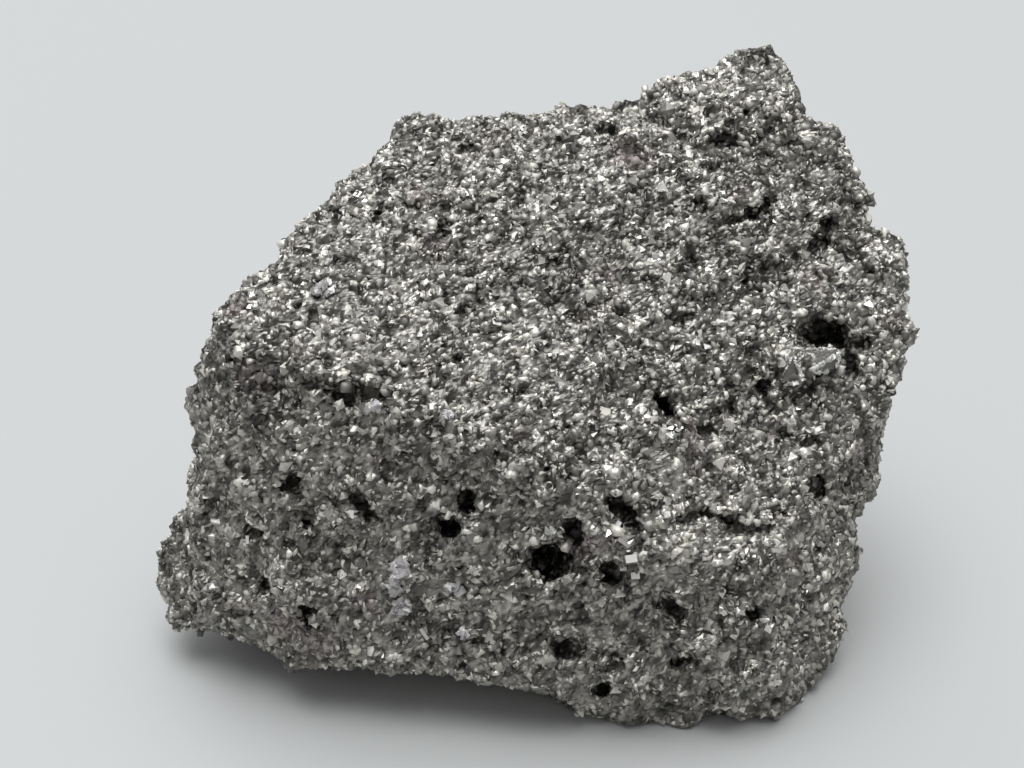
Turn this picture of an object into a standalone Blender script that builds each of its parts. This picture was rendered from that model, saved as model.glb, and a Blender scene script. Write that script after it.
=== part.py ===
"""A hand-sized lump of granular pyrite: one solid of intergrown crystals.

The lump is a rough block, taller at the back right, where it ends in a small peak. Its top slopes down to
the front, its front is cracked and pitted by little hollows, and it rests on a flat broken face that the
lower left front overhangs. The frame has +Z up, -Y towards the front, and its origin on the resting face,
below the middle of the lump.

Lengths are in metres. Corners and places are written in millimetres and scaled by MM.
"""

import math
import random

import bmesh
import bpy
from mathutils import Matrix, Vector, noise
from mathutils.bvhtree import BVHTree

MM = 0.001
NAME = "pyrite_cluster"
SEED = 7

# The block's corners, in millimetres. The body is the hull of these groups.
TOP_BACK_EDGE = ((-17, 19, 53.5), (-10, 20.5, 53.8), (7.5, 21, 55.9), (22, 19.5, 56), (32, 16, 55.5))
TOP_LEFT_EDGE = ((-22, 9, 49.2), (-29, -1, 46.4), (-34.5, -16, 44.2))
FRONT_RIDGE = ((-32, -20, 42.5), (-21, -24, 40), (-3, -28, 35.5), (11, -31, 25), (24, -28.5, 22))
RIGHT_EDGE = ((37, 13, 51), (42, 4, 42), (42.5, -4, 32.5), (37.3, -10, 21), (38, -14.5, 6.5), (36, -19.5, 3))
LEFT_EDGE = ((-37.5, -14, 39.5), (-38, -12.5, 28), (-39.3, -13, 19.5), (-41.2, -14, 8))
FRONT_FOOT = ((-40, -21, 6), (-27.5, -28.8, 6.4), (-20, -30.4, 3.4), (-8, -31.6, 2.8), (8, -30, 1),
              (11.5, -31.3, 0.2), (17.5, -31.5, 0.3), (26.5, -29.6, 0.5), (31.6, -26.2, 1.5))
FRONT_BELLY = ((-39, -21.5, 10.5), (-27, -29, 12), (-8, -31.5, 12), (10, -32, 9), (27, -31, 8))
BACK = ((-22, 20, 34), (-25, 18, 12), (6, 28, 36), (8, 27, 12), (30, 26, 37), (30, 21, 10), (38, 6, 26),
        (36, 4, 6))
LEFT_BACK = ((-35, 6, 26), (-37, 3, 9), (-40, -4, 7))
REST_OUTLINE = ((-22, -15, -2), (6, -26, -2), (25.5, -27.5, -2), (33, -16, -2), (32, 4, -2), (24, 16, -2),
                (2, 21, -2), (-20, 15, -2), (-31, 1, -2))
BODY = (TOP_BACK_EDGE + TOP_LEFT_EDGE + FRONT_RIDGE + RIGHT_EDGE + LEFT_EDGE + FRONT_FOOT + FRONT_BELLY + BACK
        + LEFT_BACK + REST_OUTLINE)

# Smaller blocks that stand out of the body.
PEAK = ((27.5, 21, 64), (21.5, 21, 61.8), (31, 20, 62), (32.6, 18.5, 59), (32.8, 17, 54.5), (15, 21, 58.7),
        (9, 20, 54.5), (15, 14, 55.4), (22, 11.5, 55.6), (30, 12, 56), (15, 14, 50), (22, 11.5, 49),
        (31, 11, 49), (16, 26, 50), (30, 25, 50))
RIGHT_SHOULDER = ((33, 17, 56.4), (35.6, 16.4, 56), (38.4, 13, 52.5), (41, 10, 48), (42.2, 8, 45.8),
                  (30, 12, 54), (33, 4, 47), (36, 18, 46), (38, 8, 42))
RIGHT_LOBE = ((43.6, 7.8, 46.2), (44.4, 6.8, 45.8), (44.2, 4.6, 43.8), (44.8, 3.4, 41.4), (44.7, 2.2, 39),
              (38, 7, 44), (39, 0, 43), (40, -4, 36), (38, 8, 40), (40, 6, 34))
RIGHT_KNOB = ((45.2, 0, 37.2), (45.4, -1.2, 36.2), (44, -3, 33), (41, -4, 35), (41, 2, 34), (40, -8, 27),
              (40, 0, 26))
LEFT_BUMP = ((-41, -13, 31), (-38.4, -13, 37), (-39, -12, 27.5), (-36, -18, 31), (-34, -8, 31),
             (-36, -14, 40.5))
LEFT_TOE = ((-46.6, -14, 7), (-46.5, -15, 4), (-43.7, -20, 4.4), (-45, -13, 13.7), (-42, -13, 17.8),
            (-39.9, -22.5, 4.7), (-40, -18, 14), (-38, -8, 6), (-38, -8, 14))
TOP_LEFT_KNOB = ((-17, 18, 55.3), (-13, 19, 55.7), (-9, 19, 54), (-18, 12, 51), (-8, 12, 51), (-14, 23, 49))
RIDGE_SLAB = ((-34, -17.5, 43.5), (-24, -24.5, 41.5), (-14, -26.8, 38.5), (-13, -24.5, 34.5), (-24, -21, 37),
              (-33, -15, 39), (-25, -14, 45), (-12, -18, 42))
BLOCKS = (BODY, PEAK, RIGHT_SHOULDER, RIGHT_LOBE, RIGHT_KNOB, LEFT_BUMP, LEFT_TOE, TOP_LEFT_KNOB, RIDGE_SLAB)

# Blocks that are cut away: a hollow under the front, a dent in the right side, and a notch in the foot.
UNDERCUTS = (
    ((-26.3, -29, 6.7), (-14.7, -30.5, 6.5), (-3.5, -31, 6.4), (1.7, -30.5, 4.8), (4.2, -30, 2.6),
     (-25.2, -38, 12), (-14.2, -38, 12), (-3.4, -38, 11.5), (1.8, -38, 10), (4.2, -38, 8), (5.6, -38, -1),
     (5.6, -29, -1), (2, -25, -1), (-8, -21, -1), (-24, -17, -1), (-31, -24, -1), (-28, -38, -1)),
    ((37.6, -18, 23), (36.4, -18, 20), (36.9, -18, 14), (38.3, -18, 10), (42.3, 0, 10.5), (41.2, 0, 7.4),
     (41.6, 0, 0.7), (50, -18, 26), (50, -18, 6), (50, 0, 14), (50, 0, -2)),
    ((19.8, -29, 1), (21.8, -29, 1.1), (18.7, -36, 7.5), (20.6, -36, 7.6), (18.4, -29, -1), (24, -29, -1),
     (17, -36, 5), (23, -36, 5), (17, -36, -1), (23, -36, -1)),
)

VOXEL = 1.1 * MM
BODY_TRIANGLES = 3900

# The middle of the finished lump's box, which is moved to the origin.
BOX_MIDDLE = Vector((-0.56, -2.63, 0)) * MM

# The relief: soft swells, then flat-faced grains of two sizes. Each kind of grain has its size, height and
# slope, and two numbers that draw each grain's lot.
SWELL_SIZE = 13 * MM
SWELL_HEIGHT = 0.9 * MM
GRAINS = ((5.5 * MM, 0.5 * MM, 0.17), (2.9 * MM, 0.28 * MM, 0.16))
HEIGHT_LOT = 53.0
SLOPE_LOT = 71.0

# Places on the front are given as seen from EYE: across and up, in millimetres on a plane through MIDDLE that
# faces the eye. A place is where the line of sight meets the body.
MIDDLE = Vector((0, -2, 27)) * MM
EYE = MIDDLE + Vector((0, -148.96, 86)) * MM
TO_EYE = (EYE - MIDDLE).normalized()
ACROSS = Vector((1, 0, 0))
UP = TO_EYE.cross(ACROSS)

# Hollows: across, up, width, height, turn in degrees and depth. Each is the hull of three rings, from its lip
# to its bottom: the ring's level, its radius as a share of the hollow's width, and its number of corners.
# Levels above the skin are in millimetres, and those below it are shares of the depth. Corners stray from
# their even places round the ring by a share of a step, and from its radius by a share in a range.
PIT_RINGS = ((1.2, 0.64, 6), (-0.25, 0.42, 6), (-1.0, 0.22, 4))
PIT_STRAY = 0.25
PIT_REACH = (0.8, 1.15)
PITS = (
    (35.0, 7.3, 6.2, 4.2, -12, 5.5), (38.0, 4.2, 1.9, 3.2, 10, 1.8), (16.0, -1.8, 4.5, 1.9, -30, 2.8),
    (21.0, -4.4, 2.3, 1.7, 0, 1.8), (22.4, -2.3, 2.9, 1.2, 20, 1.6), (15.6, 8.2, 5.4, 1.4, 18, 1.8),
    (34.6, -11.8, 1.8, 3.0, 0, 2.0), (10.6, -14.5, 3.0, 2.4, -40, 2.8), (1.6, -20.8, 4.2, 4.2, 0, 3.8),
    (4.8, -17.4, 2.1, 2.5, 0, 2.2), (8.9, -22.1, 2.5, 2.5, 10, 2.4), (-8.3, -13.5, 2.0, 2.7, 0, 2.6),
    (-10.8, -16.4, 2.6, 2.0, 0, 2.4), (-13.8, -13.4, 1.9, 1.2, 20, 1.6), (-29.4, -11.8, 2.6, 1.8, 35, 1.8),
    (-33.0, -23.4, 1.3, 2.6, 0, 1.8), (-28.0, -27.0, 2.4, 1.8, 0, 1.8), (8.3, 32.0, 2.4, 1.7, 0, 1.8),
    (11.2, 28.8, 2.6, 2.0, 0, 1.2), (22.8, 31.0, 3.8, 1.6, -5, 2.0), (34.2, 18.4, 3.8, 1.8, 50, 2.0),
    (28.2, 14.6, 4.6, 2.0, 10, 1.4), (-14.8, 22.4, 2.4, 1.4, 0, 1.8), (-8.2, 29.6, 1.8, 1.3, 20, 1.5),
    (-9.2, 4.4, 2.0, 1.2, -30, 1.4), (-9.2, 10.0, 1.3, 2.3, 0, 1.4), (17.2, 26.9, 1.3, 2.0, 10, 1.4),
    (26.9, -27.0, 2.5, 1.6, 20, 1.7), (5.4, -26.8, 1.3, 2.1, 10, 1.6), (3.8, -30.8, 2.9, 2.1, 0, 2.0),
    (22.3, -39.0, 4.4, 2.4, 0, 3.0), (-8.0, -30.2, 3.0, 1.2, 0, 1.5), (8.1, -36.2, 2.3, 1.7, 25, 1.6),
)

# Cracks: width, depth and the points of the line, as across and up. Each straight stretch is a wedge, wide at
# its lip above the skin and narrow at its foot, and reaches a little past its ends.
LIP_HEIGHT = 1.2 * MM
LIP_SPREAD = 0.65
FOOT_SPREAD = 0.2
OVERRUN = 0.4 * MM
CRACKS = (
    (1.0, 2.8, ((-28.6, 1.0), (-25.2, 0.7), (-22.5, -1.2), (-19.2, -0.4), (-17.4, -1.8))),
    (1.1, 3.0, ((27.9, 1.6), (26.4, 0.4), (27.6, -2.4))),
    (1.0, 2.6, ((20.0, -14.8), (23.4, -15.6), (27.8, -16.6))),
    (1.1, 2.4, ((-22.4, -12.6), (-20.8, -14.4), (-20.2, -16.2))),
    (1.0, 2.4, ((-10.6, 21.4), (-11.6, 19.6), (-12.2, 18.2))),
    (0.9, 2.0, ((-19.0, 22.2), (-17.2, 22.0), (-14.8, 22.6))),
    (1.0, 2.2, ((24.8, 20.2), (26.2, 21.4), (27.8, 22.4))),
    (0.9, 1.9, ((14.8, -26.0), (17.4, -27.4))),
)

# Larger crystals that stand on the front: across, up, size, turn in degrees, and the share of the size that
# is sunk. Each leans by an angle in this range, in degrees.
LEAN = (10, 22)
FEATURE_CRYSTALS = (
    (31.2, 3.2, 3.4, 25, 0.35), (35.3, 3.6, 3.1, 52, 0.3), (17.4, -4.6, 3.4, 40, 0.55),
    (11.4, -18.6, 2.8, 15, 0.5), (-16.6, -23.4, 4.4, 12, 0.85), (-30.8, -23.0, 3.4, 35, 0.7),
    (23.9, -36.2, 3.0, 20, 0.6), (15.6, -8.4, 3.6, 5, 0.7),
)

# Smaller crystals all over, above CRYSTAL_FLOOR: how many, their sizes, the least distance between two, and
# the share of the size that is sunk.
CRYSTAL_COUNT = 90
CRYSTAL_FLOOR = 4 * MM
CRYSTAL_SIZES = (1.9 * MM, 3.3 * MM)
CRYSTAL_SPACING = 4.6 * MM
SUNK = (0.66, 0.95)

COLOUR = (0.30, 0.29, 0.26, 1.0)
METALLIC = 0.9
ROUGHNESS = 0.42


def in_metres(points):
    return [Vector(point) * MM for point in points]


def clear_scene():
    for obj in list(bpy.data.objects):
        bpy.data.objects.remove(obj)


def pyrite():
    """Dull brassy grey metal."""
    material = bpy.data.materials.new(NAME)
    material.use_nodes = True
    shader = material.node_tree.nodes["Principled BSDF"]
    shader.inputs["Base Color"].default_value = COLOUR
    shader.inputs["Metallic"].default_value = METALLIC
    shader.inputs["Roughness"].default_value = ROUGHNESS
    return material


def object_of(name, bm):
    """A new object in the scene that holds this bmesh, which is freed."""
    mesh = bpy.data.meshes.new(name)
    bm.to_mesh(mesh)
    bm.free()
    obj = bpy.data.objects.new(name, mesh)
    bpy.context.scene.collection.objects.link(obj)
    return obj


def evaluated_bmesh(obj):
    """The object's mesh with its modifiers applied, as a bmesh. The object is removed."""
    bpy.context.view_layer.update()
    graph = bpy.context.evaluated_depsgraph_get()
    bm = bmesh.new()
    bm.from_object(obj, graph)
    bpy.data.objects.remove(obj)
    return bm


def add_hull(bm, corners):
    """Adds the convex hull of these corners to bm as a closed shell of its own."""
    verts = [bm.verts.new(corner) for corner in corners]
    made = bmesh.ops.convex_hull(bm, input=verts, use_existing_faces=False)
    inside = made["geom_interior"] + made["geom_unused"]
    spare = {item for item in inside if isinstance(item, bmesh.types.BMVert)}
    bmesh.ops.delete(bm, geom=list(spare), context="VERTS")


def shells(name, hulls):
    """One object of closed convex shells, which may pass through each other."""
    bm = bmesh.new()
    for corners in hulls:
        add_hull(bm, corners)
    bmesh.ops.recalc_face_normals(bm, faces=bm.faces)
    return object_of(name, bm)


def fused_blocks():
    """All the blocks as one closed skin of small, even faces."""
    obj = shells("blocks", [in_metres(corners) for corners in BLOCKS])
    remesh = obj.modifiers.new("fuse", "REMESH")
    remesh.mode = "VOXEL"
    remesh.voxel_size = VOXEL
    return evaluated_bmesh(obj)


def grain_height(place, size, height, tilt):
    """How far a flat-faced grain of this size stands out here: each grain has its own height and slope."""
    distances, centres = noise.voronoi(place / size)
    centre = centres[0]
    lot = noise.cell_vector(centre * HEIGHT_LOT) - Vector((0.5, 0.5, 0.5))
    slope = noise.cell_vector(centre * SLOPE_LOT) - Vector((0.5, 0.5, 0.5))
    return 2 * (height * lot.x + tilt * slope.dot(place - centre * size))


def roughen(bm):
    """Raises and sinks the skin into swells and flat-faced grains."""
    bm.normal_update()
    moves = []
    for vert in bm.verts:
        rise = SWELL_HEIGHT * noise.noise(vert.co / SWELL_SIZE)
        for size, height, tilt in GRAINS:
            rise += grain_height(vert.co, size, height, tilt)
        moves.append(vert.normal * rise)
    for vert, move in zip(bm.verts, moves):
        vert.co += move


def decimated(bm, triangles):
    """The same shape in about this many triangles, which gather where it bends."""
    bmesh.ops.triangulate(bm, faces=bm.faces)
    ratio = triangles / len(bm.faces)
    obj = object_of("skin", bm)
    decimate = obj.modifiers.new("thin out", "DECIMATE")
    decimate.ratio = ratio
    return evaluated_bmesh(obj)


def seen(tree, across, up):
    """The place and the outward direction where the line of sight through across and up meets the body."""
    target = MIDDLE + (ACROSS * across + UP * up) * MM
    place, normal, _, _ = tree.ray_cast(EYE, (target - EYE).normalized())
    return place, normal


def facing(normal, turn):
    """Axes along a surface and out of it, turned about its normal by this many degrees."""
    side = UP.cross(normal).normalized()
    up = normal.cross(side)
    angle = math.radians(turn)
    return side * math.cos(angle) + up * math.sin(angle), up * math.cos(angle) - side * math.sin(angle)


def smooth_normal(normal):
    """A direction between the local face's and the eye's, so that a small grain doesn't tip a hollow over."""
    return (normal + TO_EYE).normalized()


def pit_hull(tree, draw, across, up, width, height, turn, depth):
    """A faceted hollow: points around three rings, wide at the skin and narrow at the bottom."""
    place, normal = seen(tree, across, up)
    normal = smooth_normal(normal)
    side, along = facing(normal, turn)
    corners = []
    for level, spread, count in PIT_RINGS:
        for step in range(count):
            angle = math.tau * (step + draw.uniform(-PIT_STRAY, PIT_STRAY)) / count
            reach = spread * draw.uniform(*PIT_REACH)
            flat = side * (math.cos(angle) * width * reach) + along * (math.sin(angle) * height * reach)
            lift = level * MM * (depth if level < 0 else 1)
            corners.append(place + flat * MM + normal * lift)
    return corners


def crack_hulls(tree, width, depth, line):
    """A wedge along each straight stretch of a crack."""
    places = [seen(tree, across, up) for across, up in line]
    hulls = []
    for (start, normal), (end, _) in zip(places, places[1:]):
        out = smooth_normal(normal)
        run = (end - start).normalized()
        side = run.cross(out).normalized()
        corners = []
        for place in (start - run * OVERRUN, end + run * OVERRUN):
            lip = place + out * LIP_HEIGHT
            foot = place - out * depth * MM
            for reach in (-width * MM, width * MM):
                corners.append(lip + side * reach * LIP_SPREAD)
                corners.append(foot + side * reach * FOOT_SPREAD)
        hulls.append(corners)
    return hulls


def hollows(tree, draw):
    hulls = [pit_hull(tree, draw, *pit) for pit in PITS] + [in_metres(corners) for corners in UNDERCUTS]
    for width, depth, line in CRACKS:
        hulls += crack_hulls(tree, width, depth, line)
    return hulls


def cube_corners():
    return [Vector((x, y, z)) / 2 for x in (-1, 1) for y in (-1, 1) for z in (-1, 1)]


def octahedron_corners(reach=0.75):
    return [axis * sign * reach for axis in Matrix.Identity(3) for sign in (-1, 1)]


def pyritohedron_corners(slant=0.5, reach=0.42):
    """Twelve five-sided faces, as on pyrite crystals that aren't cubes."""
    corners = [Vector((x, y, z)) for x in (-1, 1) for y in (-1, 1) for z in (-1, 1)]
    for first in (-1, 1):
        for second in (-1, 1):
            corners.append(Vector((0, first * (1 + slant), second * (1 - slant * slant))))
            corners.append(Vector((first * (1 + slant), second * (1 - slant * slant), 0)))
            corners.append(Vector((second * (1 - slant * slant), 0, first * (1 + slant))))
    return [corner * reach for corner in corners]


def any_turn(draw):
    axis = Vector((draw.gauss(0, 1), draw.gauss(0, 1), draw.gauss(0, 1))).normalized()
    return Matrix.Rotation(draw.uniform(0, math.pi), 3, axis)


def placed(corners, centre, size, turn):
    return [centre + turn @ corner * size for corner in corners]


def feature_crystals(tree, draw):
    """The larger crystals that stand on the front: cubes with one corner or edge to the eye."""
    hulls = []
    for across, up, size, turn, sunk in FEATURE_CRYSTALS:
        place, normal = seen(tree, across, up)
        normal = smooth_normal(normal)
        side, along = facing(normal, turn)
        lean = Matrix.Rotation(math.radians(draw.uniform(*LEAN)), 3, side)
        axes = lean @ Matrix((side, along, normal)).transposed()
        centre = place + normal * (0.5 - sunk) * size * MM
        hulls.append(placed(cube_corners(), centre, size * MM, axes))
    return hulls


def scattered_crystals(bm, draw):
    """Crystals over the whole skin but its foot, each at least CRYSTAL_SPACING from the next."""
    shapes = (cube_corners(), cube_corners(), octahedron_corners(), pyritohedron_corners())
    faces = [face for face in bm.faces if face.calc_center_median().z > CRYSTAL_FLOOR]
    areas = [face.calc_area() for face in faces]
    taken = []
    hulls = []
    while len(hulls) < CRYSTAL_COUNT:
        face = draw.choices(faces, areas)[0]
        place = face.calc_center_median()
        if any((place - other).length < CRYSTAL_SPACING for other in taken):
            continue
        taken.append(place)
        size = draw.uniform(*CRYSTAL_SIZES)
        sink = (draw.uniform(*SUNK) - 0.5) * size
        hulls.append(placed(draw.choice(shapes), place - face.normal * sink, size, any_turn(draw)))
    return hulls


def boolean(bm, operation, other):
    """The mesh joined with another object's, or cut by it, which removes that object."""
    obj = object_of("work", bm)
    modifier = obj.modifiers.new(operation.lower(), "BOOLEAN")
    modifier.operation = operation
    modifier.solver = "EXACT"
    modifier.use_self = True
    modifier.object = other
    result = evaluated_bmesh(obj)
    bpy.data.objects.remove(other)
    return result


def floor_block(reach=80 * MM, depth=20 * MM):
    """What is cut away to leave the flat face that the lump rests on."""
    corners = [(x, y, z) for x in (-reach, reach) for y in (-reach, reach) for z in (-depth, 0)]
    return shells("floor", [corners])


def largest_shell(bm):
    """Deletes all but the largest closed shell: sealed pockets under a crystal, and crumbs cut loose."""
    unseen = set(bm.verts)
    shell_list = []
    while unseen:
        reached = {unseen.pop()}
        border = set(reached)
        while border:
            border = {edge.other_vert(vert) for vert in border for edge in vert.link_edges} & unseen
            unseen -= border
            reached |= border
        shell_list.append(reached)
    kept = max(shell_list, key=len)
    bmesh.ops.delete(bm, geom=[vert for vert in bm.verts if vert not in kept], context="VERTS")


def main():
    clear_scene()
    draw = random.Random(SEED)
    bm = fused_blocks()
    roughen(bm)
    bm = decimated(bm, BODY_TRIANGLES)
    tree = BVHTree.FromBMesh(bm)
    bm = boolean(bm, "DIFFERENCE", shells("hollows", hollows(tree, draw)))
    crystals = feature_crystals(tree, draw) + scattered_crystals(bm, draw)
    bm = boolean(bm, "UNION", shells("crystals", crystals))
    bm = boolean(bm, "DIFFERENCE", floor_block())
    largest_shell(bm)
    bmesh.ops.translate(bm, vec=-BOX_MIDDLE, verts=bm.verts)
    lump = object_of(NAME, bm)
    lump.data.materials.append(pyrite())


main()
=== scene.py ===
"""The looks of a hand-sized lump of granular pyrite.

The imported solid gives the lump's shape. A crust of small flat facets stands in for it, with the same
hollows and cracks, and grains and crystals stand out of that crust. Lengths are in metres, and MM scales
values in millimetres.
"""

import itertools
import math

import bmesh
import bpy
import numpy as np
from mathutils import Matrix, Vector, noise
from mathutils.bvhtree import BVHTree


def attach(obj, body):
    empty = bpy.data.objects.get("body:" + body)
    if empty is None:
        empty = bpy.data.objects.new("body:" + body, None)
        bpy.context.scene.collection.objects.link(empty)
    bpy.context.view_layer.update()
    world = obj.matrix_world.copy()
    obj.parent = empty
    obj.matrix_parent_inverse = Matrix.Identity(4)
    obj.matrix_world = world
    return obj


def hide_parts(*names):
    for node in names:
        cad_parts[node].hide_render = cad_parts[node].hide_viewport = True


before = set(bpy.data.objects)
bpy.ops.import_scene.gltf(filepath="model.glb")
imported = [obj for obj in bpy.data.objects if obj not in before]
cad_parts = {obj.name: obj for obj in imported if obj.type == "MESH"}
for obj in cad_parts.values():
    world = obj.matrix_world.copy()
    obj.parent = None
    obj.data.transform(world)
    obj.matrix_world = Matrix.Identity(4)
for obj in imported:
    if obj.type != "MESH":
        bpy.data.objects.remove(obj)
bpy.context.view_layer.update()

MM = 0.001
NODE = "pyrite_cluster"
SEED = 11

# The camera: where it stands, what it looks at, its lens and sensor width in millimetres, and its picture.
EYE = Vector((0.56, -148.33, 113.0)) * MM
AIM = Vector((-2.46, 1.11, 27.84)) * MM
LENS = 50
SENSOR = 36
NEAREST_SEEN = 10 * MM
COLUMNS, ROWS = 1024, 768
FORWARD = (AIM - EYE).normalized()
RIGHT = FORWARD.cross(Vector((0, 0, 1))).normalized()
UP = RIGHT.cross(FORWARD)
FOCAL = COLUMNS * LENS / SENSOR

# How far each seed shifts the noise, and a length too small to matter.
NOISE_STEPS = (7.3, 3.1, 5.7)
NO_LENGTH = 1e-12

# The skin that the hollows are cut in, then the crust: mesh sizes, how often each is softened, and how far.
SKIN_VOXEL = 0.42 * MM
SKIN_SMOOTHING = 5
CRUST_VOXEL = 0.38 * MM
CRUST_SMOOTHING = 2
SOFTENING = 0.5

# How far the crust lies inside the solid, and its swells as size and height.
INSET = 0.3 * MM
SWELLS = ((6.0 * MM, 0.36 * MM), (2.4 * MM, 0.32 * MM))

# The crust's facets, from large to small: size, height, and slope.
FACETS = ((1.9 * MM, 0.15 * MM, 0.26), (0.9 * MM, 0.12 * MM, 0.5))

# Where two facets meet, the higher one falls off this steeply.
FACET_FALL = 1.3

# The random lots of the facets: how many sets there are, and what the columns of a set decide.
LOTS = 4096
CENTRE, HEIGHT, TILT, TONE = slice(0, 3), 3, slice(4, 7), 7
LOT_COLUMNS = 8

# The seams between the smaller facets, sunk as grooves and darkened with painted shade: their entry in
# FACETS, how wide they are, and how deep.
SEAM_LEVEL = 1
SEAM_WIDTH = 0.3 * MM
SEAM_DEPTH = 0.1 * MM

# Below this height the crust's relief dies away towards the floor.
FOOT = 1.2 * MM

# The crust is cut in two, low at the front and high at the back, where the cut meets few hollows: the
# direction across the cut, and the front's share of the faces.
CUT_ALONG = (0.0, 0.6, -0.8)
CUT_SHARE = 0.55

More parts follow.
